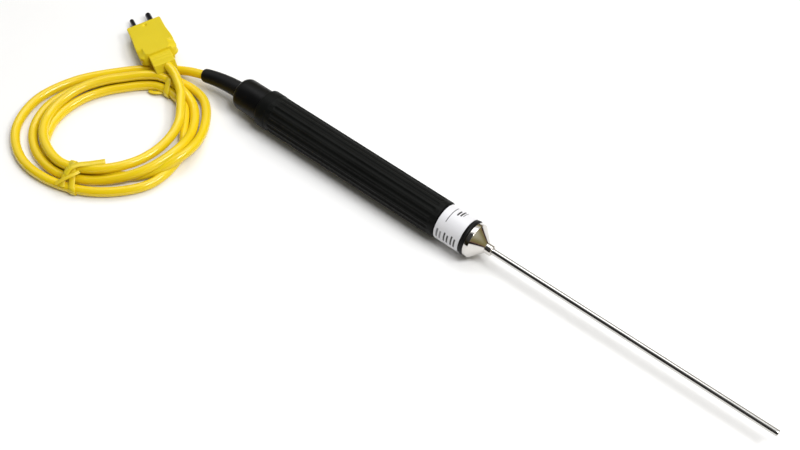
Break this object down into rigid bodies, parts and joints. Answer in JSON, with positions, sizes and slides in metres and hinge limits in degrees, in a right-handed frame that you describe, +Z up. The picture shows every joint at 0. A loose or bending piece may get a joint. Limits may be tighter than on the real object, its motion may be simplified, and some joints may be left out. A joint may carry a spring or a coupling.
{
  "type": "thermocouple probe",
  "caption": "Handheld thermocouple probe with a straight metal sheath, a fluted black handle, a coiled yellow lead and a two-pin plug.",
  "frame": {"origin": "on the table, under the middle of the rigid probe's length and width", "axes": "+X along the probe towards the sheath's tip, +Z up, the coil and plug on the -X and -Y side"},
  "size_m": [0.4095, 0.1206, 0.0205],
  "materials": {
    "steel": "drawn and lightly polished",
    "nickel": "turned and polished nickel",
    "mineral": "packed magnesia powder",
    "rubber": "smooth",
    "band": "satin film",
    "plastic": "satin",
    "grip": "satin",
    "brass": "plain",
    "ceramic": "unglazed ceramic",
    "cable": "glossy extruded",
    "core_positive": "extruded",
    "core_negative": "extruded",
    "lead": "drawn",
    "tie": "satin",
    "plug": "satin moulded",
    "pin": "dark oxidised"
  },
  "bodies": {
    "root": {"sheath": "steel", "mineral_core": "mineral", "sheath_collar": "steel", "nose_cone": "nickel", "o_ring": "rubber", "body_tube": "plastic", "label_band": "band", "grip_sleeve": "grip", "rear_cap": "plastic", "strain_relief": "rubber", "cable_stop": "brass", "inner_cable": "cable", "terminal_carrier": "ceramic", "crimp_positive": "brass", "crimp_negative": "brass", "lead_positive": "lead", "lead_negative": "lead", "core_positive": "core_positive", "core_negative": "core_negative", "cable": "cable", "cable_coil": "cable", "tie_near": "tie", "tie_far": "tie", "plug_base": "plug", "plug_cover": "plug", "pin_positive": "pin", "pin_negative": "pin", "plug_core_positive": "core_positive", "plug_core_negative": "core_negative", "plug_cable_end": "cable", "cover_screw": "steel"}
  },
  "joints": []
}
